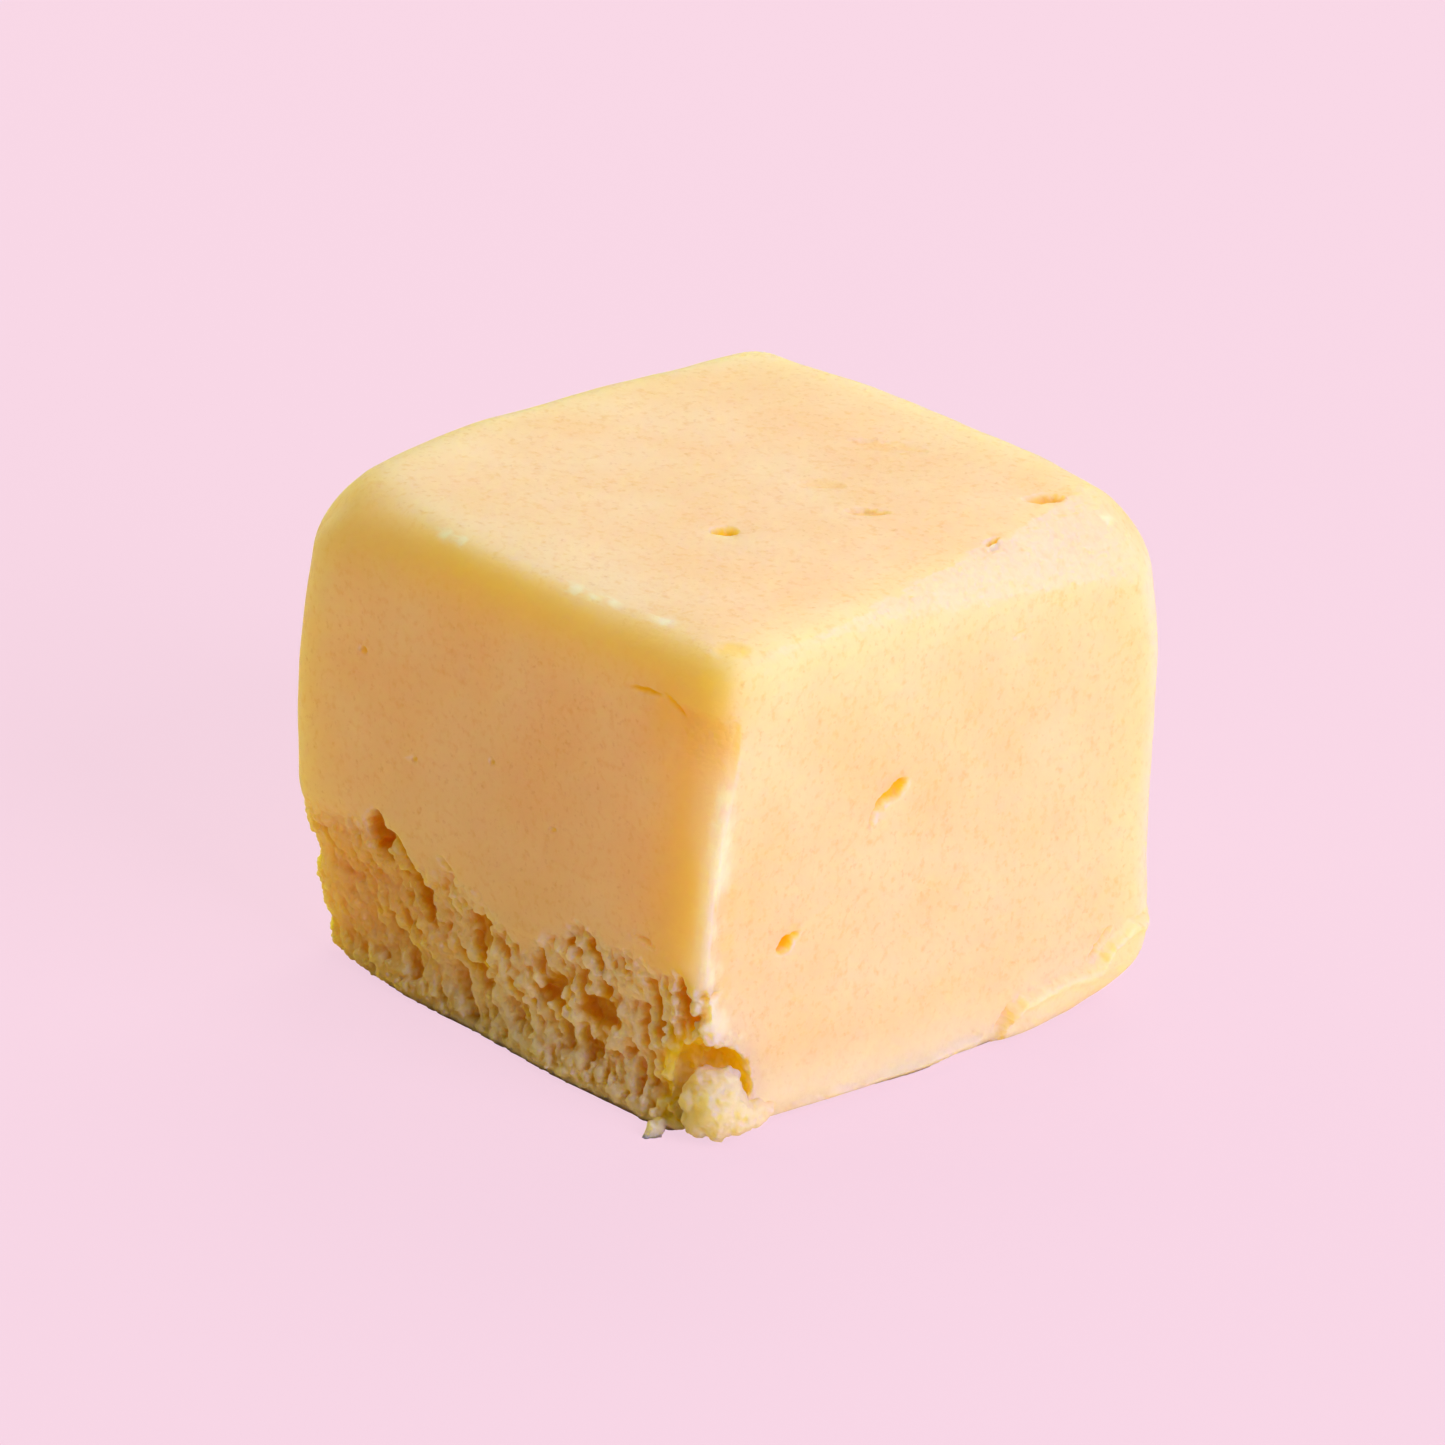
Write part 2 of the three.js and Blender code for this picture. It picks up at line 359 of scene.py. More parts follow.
# middle along X and Z, half width, half height, lean in degrees, depth
HOLLOWS = [
    ((-7.15, 7.6), 0.62, 0.95, 15, 1.3),
    ((-4.9, 5.6), 0.45, 1.10, 25, 0.9),
    ((-2.8, 7.6), 0.42, 0.16, -33, 0.4),
    ((-6.6, 3.2), 0.30, 0.65, 20, 0.6),
    ((-5.6, 2.1), 0.35, 0.80, 15, 0.6),
    ((-8.3, 3.3), 0.35, 0.85, 20, 0.4),
    ((-1.2, 5.1), 0.38, 0.85, 20, 0.6),
    ((-1.2, 2.8), 0.30, 0.50, 20, 0.7),
    ((-2.4, 2.2), 0.45, 0.75, 10, 0.7),
    ((1.7, 2.2), 0.24, 0.90, 12, 0.6),
    ((3.3, 3.9), 0.42, 1.05, -34, 0.9),
    ((5.6, 7.55), 0.35, 0.10, -30, 0.4),
    ((6.3, 3.95), 0.85, 0.62, 10, 1.0),
    ((5.5, 2.1), 0.30, 0.95, 5, 0.8),
    ((8.25, 6.6), 0.12, 0.85, 0, 0.5),
    ((8.9, 4.1), 0.22, 0.70, 5, 0.6),
    ((7.1, 2.35), 0.50, 0.14, 0, 0.6),
    ((6.8, 1.4), 0.26, 0.45, 0, 0.6),
    ((8.7, 1.9), 0.34, 0.70, 0, 0.7),
    ((9.25, 8.67), 0.75, 0.08, -8, 0.4),
    ((11.45, 6.2), 0.24, 1.20, 3, 1.0),
    ((10.8, 2.7), 0.95, 1.90, 3, 0.4),
]
print("hollows:", len(HOLLOWS))


# %% Where the skin ends
def below_skin(points):
    """How far a point lies under the ragged line where the skin ends."""
    flat = points * (1, 0, 1)
    ragged = 0.45 * fractal(flat * (1, 1, 0.6), 1.6) + 0.2 * fractal(flat, 0.5)
    return along(SKIN_EDGE, points[:, 0]) + ragged - points[:, 2]


def torn_share(points, normals):
    """1 where the skin has torn away, 0 on the smooth skin."""
    return smooth(0.0, 0.9, below_skin(points)) * facing(normals, (0, -1, 0), 0.0, 0.45)


# %% Columns, cracks and bumps
def column_gaps(points):
    """0 on a column, 1 in a gap between columns, less in the cracks across them."""
    x, z = points[:, 0], points[:, 2]
    ragged = 0.18 * fractal(points, 0.8, shift=6.0) + 0.10 * fractal(points, 0.3, 2, shift=8.0)
    leaning = np.stack([
        (x + z * along(COLUMN_LEAN, x) + ragged) / COLUMN_WIDTH,
        np.zeros(len(x)),
        (z + ragged) / COLUMN_HEIGHT,
    ], axis=1)
    field = fractal(leaning, 1.0, 2)
    cracks = CRACK_SHARE * (1 - smooth(0.03, 0.14, np.abs(field + 0.22)))
    opening = -0.46 + 0.30 * smooth(0.0, 2.5, below_skin(points))
    return np.maximum(smooth(0.0, 0.5, field + opening), cracks)


def creases(points, size):
    """0 on the middles of packed rounded bumps of this size, about 1 in the creases."""
    return np.array([
        noise.voronoi(Vector(p), distance_metric="DISTANCE_SQUARED")[0][0]
        for p in points / size
    ]) / 0.6


# %% Hollows
def ellipse_distance(across, up, half_width, half_height, lean):
    """1 on the rim of a leaning ellipse round the middle (0, 0)."""
    angle = math.radians(lean)
    lengthwise = across * math.cos(angle) + up * math.sin(angle)
    crosswise = up * math.cos(angle) - across * math.sin(angle)
    return np.hypot(lengthwise / half_width, crosswise / half_height)


def hollow_depth(points, normals):
    """How deep the placed hollows go, with wobbling rims."""
    wobble = 0.25 * fractal(points, 0.9, shift=4.0) + 0.13 * fractal(points, 0.35, 2)
    depth = np.zeros(len(points))
    for (x, z), half_width, half_height, lean, own in HOLLOWS:
        across, up = points[:, 0] - x + wobble, points[:, 2] - z - wobble
        distance = ellipse_distance(across, up, half_width, half_height, lean)
        depth = np.maximum(depth, own * smooth(0, 1, (1.4 - distance) / 0.7))
    return depth * facing(normals, (0, -1, 0), 0.0, 0.4)


# %% [markdown]
# The subdivided cube is too coarse for the columns, and its faces are long near the corners.
# A voxel remesh gives small even faces first. The tear is softer at its far left end.

# %% Cut the tear
TEAR_VOXEL = 0.15


def apply_modifier(piece, kind, **settings):
    """Adds a modifier with these settings and makes its result the mesh."""
    modifier = piece.modifiers.new(kind.lower(), kind)
    for name, value in settings.items():
        setattr(modifier, name, value)
    bpy.context.view_layer.objects.active = piece
    bpy.ops.object.modifier_apply(modifier=modifier.name)


apply_modifier(block, "REMESH", mode="VOXEL", voxel_size=TEAR_VOXEL)
points, normals = read_points(block), read_normals(block)
torn = torn_share(points, normals)
crumble = CRUMBLE_DEPTH * creases(points, 0.6)
tear = torn * (FLAKE_DEPTH + GAP_DEPTH * column_gaps(points) + crumble)
softer = 0.5 + 0.5 * smooth(-10, -5, points[:, 0])
push(block, np.maximum(tear, hollow_depth(points, normals)) * softer, off_base=0.5)
print("torn points:", int((torn > 0.5).sum()), "of", len(points))

# %% [markdown]
# ## Worn edges
# The upper edge on the right is rubbed off and granular. It starts as a thin line at the
# front corner and widens towards the far end. A bevel has one width, so the strip is found
# by the way each point faces instead. Near the top of the front edge the shaded side is set
# back under a small ledge.

# %% Wear the edges
RUBBED_DEPTH = 0.10
LEDGE_DEPTH, LEDGE_HEIGHT = 0.16, 19.45


def rubbed_share(points, normals):
    """1 on the worn upper edge of the +X side, 0 away from it."""
    y = points[:, 1]
    widen = smooth(-13.0, 6.0, y)
    length = smooth(-13.5, -9.0, y) * (1 - smooth(9.5, 12.5, y)) * smooth(16, 18, points[:, 2])
    ragged = 0.12 * fractal(points, 1.5) + 0.06 * fractal(points, 0.4, 2)
    low_x, low_z = 0.5 - 0.38 * widen, 0.55 - 0.40 * widen
    tilt_x = smooth(low_x, low_x + 0.15, normals[:, 0] + ragged)
    tilt_z = smooth(low_z, low_z + 0.35, normals[:, 2] + ragged)
    return length * tilt_x * tilt_z


def ledge_share(points, normals):
    """1 just under the ledge at the front corner, 0 away from it."""
    x, z = points[:, 0], points[:, 2]
    ragged = 0.25 * fractal(points, 1.2, shift=5.0)
    share = smooth(9.6, 11.0, x) * smooth(14.5, 18.5, z)
    share *= 1 - smooth(LEDGE_HEIGHT - 0.25, LEDGE_HEIGHT + 0.25, z + ragged)
    return share * facing(normals, (0, -1, 0), 0.1, 0.6)


points, normals = read_points(block), read_normals(block)
push(block, LEDGE_DEPTH * ledge_share(points, normals))
rubbed = rubbed_share(points, normals)
push(block, RUBBED_DEPTH * rubbed * smooth(-6, 4, points[:, 1]))
print("rubbed points:", int((rubbed > 0.5).sum()))

# %% [markdown]
# ## The socket
# At the foot of the front edge a lump has come loose, and it hangs in a socket with a
# golden crack round it. A push along the normals can't undercut, so the socket is cut with
# a lumpy ball and a boolean.

# %% Cut the socket
SOCKET_AT = np.array([12.5, -12.7, 2.5])
SOCKET_RADII = np.array([2.1, 2.1, 2.4])

bpy.ops.object.select_all(action="DESELECT")
bpy.ops.mesh.primitive_ico_sphere_add(subdivisions=5, radius=1)
socket = bpy.context.object
points = read_points(socket)
swell = 1 + 0.16 * fractal(points, 0.55) + 0.06 * fractal(points, 0.14, 2)
write_points(socket, points * swell[:, None] * SOCKET_RADII + SOCKET_AT)
apply_modifier(block, "BOOLEAN", object=socket, operation="DIFFERENCE", solver="MANIFOLD")
bpy.data.objects.remove(socket)
print("socket cut, points:", len(block.data.vertices))


def socket_near(points):
    """1 on the wall of the socket, 0 away from it."""
    away = np.linalg.norm((points - SOCKET_AT) / SOCKET_RADII, axis=1)
    return bell(np.abs(away - 1) / 0.3)


# %% [markdown]
# ## Grains
# Broken fudge is a heap of tiny rounded grains. A particle system could scatter them, but
# they have to end up in one closed mesh. So a few grain shapes are modelled from
# icospheres, and thousands of copies are gathered in plain meshes, which a voxel remesh
# later fuses with the block. The draws are seeded, so each run gives the same grains.

# %% Grain shapes
GRAIN_SHAPES = 5
rng = np.random.default_rng(7)


def grain_shape(number):
    """Points and faces of one lumpy grain of radius about 1."""
    bpy.ops.object.select_all(action="DESELECT")
    bpy.ops.mesh.primitive_ico_sphere_add(subdivisions=2, radius=1)
    grain = bpy.context.object
    points = read_points(grain)
    points *= (1 + 0.28 * fractal(points, 1.1, shift=number * 5.0))[:, None]
    faces = np.array([polygon.vertices[:] for polygon in grain.data.polygons])
    mesh = grain.data
    bpy.data.objects.remove(grain)
    bpy.data.meshes.remove(mesh)
    return points, faces


grains = [grain_shape(number) for number in range(GRAIN_SHAPES)]
print("grain shapes:", len(grains), "faces each:", len(grains[0][1]))


# %% Scatter grains
def random_turns(count):
    """Random rotation matrices, from normal draws made square and upright."""
    turns, _ = np.linalg.qr(rng.normal(size=(count, 3, 3)))
    return turns * np.sign(np.linalg.det(turns))[:, None, None]


def scatter(name, places, radii):
    """One mesh of grains, each turned its own way, at these places."""
    all_points, all_faces, used = [], [], 0
    turns = random_turns(len(places))
    for i, (place, radius) in enumerate(zip(places, radii)):
        shape, faces = grains[i % GRAIN_SHAPES]
        all_points.append(shape @ turns[i].T * radius + place)
        all_faces.append(faces + used)
        used += len(shape)
    mesh = bpy.data.meshes.new(name)
    mesh.from_pydata(np.concatenate(all_points), [], np.concatenate(all_faces))
    piece = bpy.data.objects.new(name, mesh)
    scene.collection.objects.link(piece)
    return piece


def cover(name, weight, count, radius, sink):
    """Grains set on points of the block, drawn by weight and sunk by a share of their radius."""
    chosen = rng.choice(len(weight), count, p=weight / weight.sum())
    radii = radius[0] + (radius[1] - radius[0]) * rng.uniform(0, 1, count) ** 2
    depth = rng.uniform(*sink, count) * radii
    return scatter(name, points[chosen] - normals[chosen] * depth[:, None], radii)


# %% [markdown]
# ## Grains on the torn wall
# On the real piece they sit in clusters, more of them towards the front edge. An even
# spread would look like sandpaper, so cloudy noise weights where they are drawn.

# %% Cover the torn wall
TORN_GRAINS = 2000

points, normals = read_points(block), read_normals(block)
torn = np.maximum(torn_share(points, normals), socket_near(points)) * (points[:, 2] > 0.8)
clustered = np.clip(0.25 + fractal(points, 1.1, shift=3.0), 0, 1) * smooth(-9, 2, points[:, 0])
weight = clustered * (torn > 0.3)
torn_grains = cover("torn_grains", weight, TORN_GRAINS, radius=(0.10, 0.24), sink=(0.2, 0.8))
print("grains on the torn wall:", TORN_GRAINS)

# %% [markdown]
# ## The loose lump
# The lump is a clod of grains that has broken off and hangs on. Noise on one ball gives a
# potato, so it is built from a few overlapping balls that follow its outline: each has a
# place along the cube's diagonal, a height and a distance out of the corner. Large grains
# make it lumpy, and small ones make it fine.

# %% Balls of the lump
CRUMB_AT = np.array([12.55, -12.05, 0.25])
ALONG_DIAGONAL = np.array([0.716, 0.698, 0])   # across the view
OUT_OF_CORNER = np.array([0.698, -0.716, 0])   # towards the camera
UPWARD = np.array([0, 0, 1])
# along the diagonal, height, how far out, radius
CRUMB_BALLS = [
    (-0.1, 1.50, 0.0, 1.30),
    (-0.6, 2.45, -0.2, 0.75),
    (0.1, 2.40, -0.2, 0.75),
    (0.65, 1.25, 0.1, 0.95),
    (-0.9, 1.75, -0.1, 0.80),
    (-0.8, 0.80, 0.0, 0.72),
    (0.0, 0.80, 0.1, 0.80),
    (1.50, 1.15, -0.2, 0.50),
    (1.95, 1.35, -0.3, 0.28),
]
ball_places = np.array([
    CRUMB_AT + ALONG_DIAGONAL * aside + UPWARD * height + OUT_OF_CORNER * out
    for aside, height, out, _ in CRUMB_BALLS
])
ball_radii = np.array([radius for *_, radius in CRUMB_BALLS])
print("balls in the lump:", len(CRUMB_BALLS))

# %% Cover the lump
CORE_SHARE = 0.85   # the balls are made a little small, and the grains fill them out
CRUMB_LUMPS, CRUMB_GRAINS = 120, 600


def directions(count):
    """Random directions, evenly spread."""
    outward = rng.normal(size=(count, 3))
    return outward / np.linalg.norm(outward, axis=1, keepdims=True)


def on_balls(count, level):
    """Places spread over the balls, at this share of each radius, most on the large ones."""
    ball = rng.choice(len(ball_radii), count, p=ball_radii**2 / (ball_radii**2).sum())
    return ball_places[ball] + directions(count) * (ball_radii[ball] * level)[:, None]


crumb_core = scatter("crumb_core", ball_places, ball_radii * CORE_SHARE)
crumb_lumps = scatter(
    "crumb_lumps", on_balls(CRUMB_LUMPS, 0.76), rng.uniform(0.20, 0.30, CRUMB_LUMPS))
crumb_grains = scatter(
    "crumb_grains", on_balls(CRUMB_GRAINS, 0.87), rng.uniform(0.14, 0.19, CRUMB_GRAINS))
print("grains on the lump:", CRUMB_LUMPS + CRUMB_GRAINS)

# %% [markdown]
# ## Stray crumbs and the rubbed edge
# A few crumbs lie on the rim of the socket and one stands at the foot of the tear. Each
# heap is a handful of grains drawn round its middle. The rubbed edge is rough in the same
# way, but its grains are sunk nearly out of sight.

# %% Stray crumbs and grains on the rubbed edge
# middle, spread, how many grains: on the socket's rim and at the foot of the tear
STRAY_CRUMBS = [
    ((12.2, -13.1, 4.0), (0.16, 0.10, 0.16), 14),
    ((10.42, -13.65, 0.32), (0.10, 0.18, 0.10), 20),
]
RUBBED_GRAINS = 800

stray = np.concatenate([
    middle + rng.normal(size=(count, 3)) * spread
    for middle, spread, count in STRAY_CRUMBS
])
stray_grains = scatter("stray_grains", stray, rng.uniform(0.15, 0.26, len(stray)))

rubbed = rubbed_share(points, normals)
weight = rubbed * (rubbed > 0.3)
rubbed_grains = cover(
    "rubbed_grains", weight, RUBBED_GRAINS, radius=(0.12, 0.28), sink=(0.6, 0.95))
print("stray grains:", len(stray), "grains on the rubbed edge:", RUBBED_GRAINS)

# %% [markdown]
# ## Dried sugar
# In a few places along the edges sugar has dried in white specks. Random specks would turn
# up all over, so the patches are listed one by one. Tiny grains give them relief here, and
# the same rule colours them later.

# %% Dried sugar
# middle, reach
SUGAR_SPOTS = [
    ((-4.3, -13.2, 22.1), 0.35),
    ((-3.2, -13.2, 22.1), 0.30),
    ((3.2, -12.8, 22.0), 0.38),
    ((4.3, -12.8, 22.0), 0.25),
    ((5.2, -12.6, 22.0), 0.30),
    ((8.05, -12.4, 22.0), 0.35),
    ((6.7, -1.1, 22.6), 0.25),
    ((11.0, 10.5, 21.9), 0.40),
    ((12.8, -13.0, 16.0), 0.40),
    ((12.85, -13.0, 14.8), 0.50),
    ((12.9, -13.0, 14.1), 0.55),
    ((12.9, -13.0, 13.4), 0.65),
    ((12.9, -13.0, 12.7), 0.70),
    ((12.9, -13.0, 12.0), 0.60),
    ((12.9, -13.0, 10.1), 0.50),
    ((12.9, -13.0, 8.0), 0.60),
    ((13.0, -12.8, 6.2), 0.90),
    ((13.1, -12.5, 5.4), 0.90),
    ((10.4, -13.9, 0.3), 0.50),
]
SUGAR_GRAINS = 140


def sugar_share(points):
    """1 in the middle of a spot of dried sugar, ragged towards its rim."""
    ragged = 0.55 * fractal(points, 0.6, 3)
    share = np.zeros(len(points))
    for middle, reach in SUGAR_SPOTS:
        distance = np.linalg.norm(points - middle, axis=1) / reach + ragged
        share = np.maximum(share, 1 - smooth(0.3, 1.4, distance))
    return share


weight = sugar_share(points)
sugar_grains = cover(
    "sugar_grains", weight, SUGAR_GRAINS, radius=(0.06, 0.12), sink=(0.4, 0.9))
print("patches of sugar:", len(SUGAR_SPOTS), "grains in them:", SUGAR_GRAINS)

# %% [markdown]
# ## One solid
# A boolean for each of thousands of grains would be slow. Join puts all the meshes in one
# object instead, and the voxel remesh keeps only their common outer surface. Smooth takes
# the voxel steps off, and what is left just above the base is set flat on it.

# %% Fuse and smooth
FUSE_VOXEL = 0.09
FLAT_BELOW = 0.1

bpy.ops.object.select_all(action="DESELECT")
crumb = (crumb_core, crumb_lumps, crumb_grains, stray_grains)
for piece in (block, *crumb, torn_grains, rubbed_grains, sugar_grains):
    piece.select_set(True)
bpy.context.view_layer.objects.active = block
bpy.ops.object.join()
apply_modifier(block, "REMESH", mode="VOXEL", voxel_size=FUSE_VOXEL)
apply_modifier(block, "SMOOTH", factor=0.3, iterations=1)
points = read_points(block)
points[:, 2] = np.where(points[:, 2] < FLAT_BELOW, 0, points[:, 2])
write_points(block, points)
print("fused points:", len(points))

# %% [markdown]
# Between the grains the remesh can leave small closed bubbles inside the block. Light that
# travels under the skin would end in them as dark spots, so only the largest shell is kept.

# %% Keep the outer shell
bpy.ops.object.mode_set(mode="EDIT")
bpy.ops.mesh.select_all(action="SELECT")
bpy.ops.mesh.separate(type="LOOSE")
bpy.ops.object.mode_set(mode="OBJECT")
shells = sorted(bpy.context.selected_objects, key=lambda shell: len(shell.data.vertices))
block = shells.pop()
block.name = "fudge_block"
for shell in shells:
    bpy.data.objects.remove(shell)
bpy.context.view_layer.objects.active = block
print("bubbles removed:", len(shells))

# %% [markdown]
# ## Pits, dents and the pressed lip
# Air bubbles left a few pits, each with its own place and shape, and at the foot of the
# right side a thin lip was pressed out, with creases round it. A boolean would leave sharp
# rims, so each pit is a smooth ragged push. They come last, when the mesh is finest.

# %% Pits and creases
# side, middle, half width, half height, lean in degrees, depth, how much golden shade is painted
# in it
PITS = [
    ("x", (-3.05, 13.75), 0.60, 0.36, 25, 0.75, 1.7),
    ("x", (-3.70, 13.45), 0.50, 0.32, 52, 0.50, 0.6),
    ("x", (-4.15, 12.90), 0.45, 0.20, 65, 0.30, 0.4),
    ("x", (-8.90, 8.20), 0.38, 0.32, 20, 0.85, 2.2),
    ("x", (-8.50, 8.45), 0.42, 0.14, 22, 0.30, 1.0),
    ("x", (-12.8, 6.9), 0.40, 0.12, 15, 0.25, 0.6),
    ("x", (3.8, 19.1), 0.35, 0.10, 15, 0.20, 0.3),
    ("x", (9.55, 3.55), 0.80, 0.16, 45, 0.25, 0.6),
    ("x", (4.15, 1.50), 0.60, 0.12, 65, 0.20, 0.5),
    ("z", (3.05, -4.1), 0.48, 0.42, 45, 0.80, 1.6),
    ("z", (0.7, 7.7), 1.60, 0.60, 30, 0.12, 0.15),
    ("z", (2.0, 2.6), 0.90, 0.50, 40, 0.12, 0.15),
    ("z", (5.4, 2.0), 0.80, 0.30, 40, 0.18, 0.3),
    ("z", (9.1, 8.8), 0.75, 0.40, 60, 0.35, 0.7),
    ("z", (10.8, 3.95), 0.14, 0.40, 10, 0.60, 1.0),
    ("z", (11.9, -12.3), 0.70, 0.75, 45, 0.12, 0.5),
    ("y", (8.5, 19.45), 0.90, 0.13, 6, 0.18, 0.9),
    ("y", (10.2, 19.4), 0.60, 0.14, -30, 0.12, 0.9),
    ("y", (-8.2, 15.7), 0.20, 0.20, 0, 0.20, 0.6),
    ("y", (3.6, 11.6), 0.20, 0.12, 0, 0.20, 0.4),
    ("y", (-0.2, 13.4), 0.15, 0.15, 0, 0.18, 0.4),
    ("y", (-4.7, 11.9), 0.15, 0.15, 0, 0.18, 0.4),
]
print("pits, dents and creases:", len(PITS))

# %% Rules for the pits
# side: the two axes that it spans, and the way it faces
SIDE_AXES = {"x": (1, 2, (1, 0, 0)), "y": (0, 2, (0, -1, 0)), "z": (0, 1, (0, 0, 1))}


def pit_shares(points, normals):
    """Each pit with its share of every point: 1 in its middle, 0 away from it."""
    ragged = 0.10 * fractal(points, 0.6, 3, shift=2.0)
    for side, middle, half_width, half_height, lean, depth, shade_gold in PITS:
        first, second, outward = SIDE_AXES[side]
        across, up = points[:, first] - middle[0] + ragged, points[:, second] - middle[1] - ragged
        distance = ellipse_distance(across, up, half_width, half_height, lean)
        share = smooth(0, 1, (1.4 - distance) / 0.8) * facing(normals, outward, -0.3, 0.1)
        # deepest under its upper rim
        angle = math.radians(lean)
        side_up = (up * math.cos(angle) - across * math.sin(angle)) / half_height
        yield share * (0.4 + 0.6 * smooth(-1.0, 0.2, side_up)), depth, shade_gold


def pit_depth(points, normals):
    """How deep all the pits go together."""
    return sum(share * depth for share, depth, _ in pit_shares(points, normals))


def pit_golden_shade(points, normals):
    """How much golden shade is painted on a point for lying in a pit, up to 1."""
    shade_golds = [share * shade_gold for share, _, shade_gold in pit_shares(points, normals)]
    return np.minimum(np.maximum.reduce(shade_golds), 1)


# %% The pressed lip
# place along Y: height of the lip that was pressed out at the foot of the +X side
LIP_HEIGHT = {4.0: 0.7, 4.3: 1.7, 5.0: 2.4, 6.7: 2.6, 9.3: 2.7, 10.1: 3.6, 11.3: 4.3, 13.0: 4.1}
LIP_RISE = 0.34
FOOT_RIM_RISE = 0.22


def lip_share(points, normals):
    """1 on the lip, more along its rounded upper rim."""
    y, z = points[:, 1], points[:, 2]
    top = along(LIP_HEIGHT, y) + 0.16 * fractal(points, 1.0)
    share = smooth(3.7, 4.3, y + 0.3 * fractal(points, 1.2, shift=3.0))
    share *= 1 - 0.8 * smooth(11.5, 13.3, y)
    rim = 0.6 * bell(np.abs(top - 0.35 - z) / 0.45)
    return share * (1 - smooth(top - 0.22, top, z) + rim) * facing(normals, (1, 0, 0), 0.0, 0.5)


def foot_rim(points, normals):
    """1 on the thin rim pressed out along the rest of that foot."""
    y, z = points[:, 1], points[:, 2]
    top = 0.9 + 0.35 * fractal(points * (0, 1, 0), 2.5)
    share = smooth(-10.5, -8.5, y) * (1 - smooth(2.8, 3.6, y))
    return share * (1 - smooth(top - 0.3, top, z)) * facing(normals, (1, 0, 0), -0.3, 0.4)


# %% Shape the smooth sides
points, normals = read_points(block), read_normals(block)
side_depth = pit_depth(points, normals) - LIP_RISE * lip_share(points, normals)
side_depth -= FOOT_RIM_RISE * foot_rim(points, normals)
push(block, side_depth)
print("deepest pit in mm:", round(side_depth.max(), 2))

# %% [markdown]
# ## Fine crumble
# The broken places are rough below the size of a grain too. A bump texture would do from
# far off, but light that travels under the surface washes it out, so the mesh itself gets
# packed creases of two sizes and a little noise.

# %% Roughen the broken places
ROUGH_DEPTH = 0.10


def crumb_near(points):
    """1 on the loose lump, 0 away from it."""
    away = np.min([
        np.linalg.norm(points - place, axis=1) - radius
        for place, radius in zip(ball_places, ball_radii)
    ], axis=0)
    return 1 - smooth(0.12, 0.25, away)


points, normals = read_points(block), read_normals(block)
shares = (torn_share(points, normals), socket_near(points), 0.3 * crumb_near(points))
rough = np.maximum.reduce(shares) * (1 - 0.7 * crumb_near(points))
rough += 0.4 * rubbed_share(points, normals)
fine = creases(points, 0.42) + 0.5 * creases(points, 0.2) + 0.4 * fractal(points, 0.25, 2)
push(block, ROUGH_DEPTH * rough * (fine - 0.5), off_base=0.3)
print("roughened points:", int((rough > 0.3).sum()))

# %% [markdown]
# ## Thin the mesh
# The fused mesh has the same small faces everywhere, far more than the flat sides need. A
# coarser voxel would lose the grains too. Decimate merges faces instead, and it is given a
# vertex group that holds the smooth skin only, so the broken places keep all their points.

# %% Thin
MOST_TRIANGLES = 190_000
STILL_SKIN = 0.15   # a point with less detail than this may be merged


def count_triangles(piece):
    """How many triangles the piece's faces split into."""
    return sum(len(polygon.vertices) - 2 for polygon in piece.data.polygons)


points, normals = read_points(block), read_normals(block)
detailed = np.maximum.reduce([rough, pit_golden_shade(points, normals), crumb_near(points)])
skin = block.vertex_groups.new(name="skin")
skin.add(np.flatnonzero(detailed < STILL_SKIN).tolist(), 1.0, "REPLACE")
triangles = count_triangles(block)
if triangles > MOST_TRIANGLES:
    apply_modifier(block, "DECIMATE", ratio=MOST_TRIANGLES / triangles, vertex_group="skin")
block.vertex_groups.clear()
print("triangles:", triangles, "thinned to", count_triangles(block))

# %% [markdown]
# ## Marks for the material
# The material has to know where the skin is gone, how deep a point lies, where golden shade
# is painted, which edges are worn pale or get a painted highlight, where a painted glow lies
# along the shaded edges and where sugar has dried. These could be painted by hand, but the
# rules that shaped the block know them already. Each is a number on every point, kept in
# the mesh as an attribute.


# %% Helpers for the marks
def write_mark(name, values):
    """Keeps the values on the points of the block, under this name."""
    mark = block.data.attributes.new(name, "FLOAT", "POINT")
    mark.data.foreach_set("value", np.clip(values, 0, 1))
    print(name, "on", int((values > 0.5).sum()), "points")


GOLDEN_SHADE_WALL = np.array([11.3, -13.2, 2.2])   # the broken wall beside the loose lump, painted with golden shade
WALL_RADII = np.array([1.5, 1.9, 2.2])


def golden_shade_wall(points):
    """1 on the broken wall beside the loose lump, where golden shade is painted, 0 away from it.
    """
    away = np.linalg.norm((points - GOLDEN_SHADE_WALL) / WALL_RADII, axis=1)
    return 1 - smooth(0.75, 1.1, away + 0.12 * fractal(points, 0.8))


def edge_glow_share(points, normals):
    """1 along the front and upper edges of the shaded side, for a painted glow of light through
    them.
    """
    x, z = points[:, 0], points[:, 2]
    by_front = smooth(8.5, 11.5, x) * facing(normals, (0, -1, 0), 0.6, 0.9)
    by_top = np.maximum(smooth(18.0, 21.5, z), smooth(7.5, 10, x) * smooth(15.5, 19, z))
    by_top *= facing(normals, (0, -1, 0), 0.25, 0.95) * (1 - smooth(11.5, 12.5, x))
    return np.maximum(by_front, by_top)


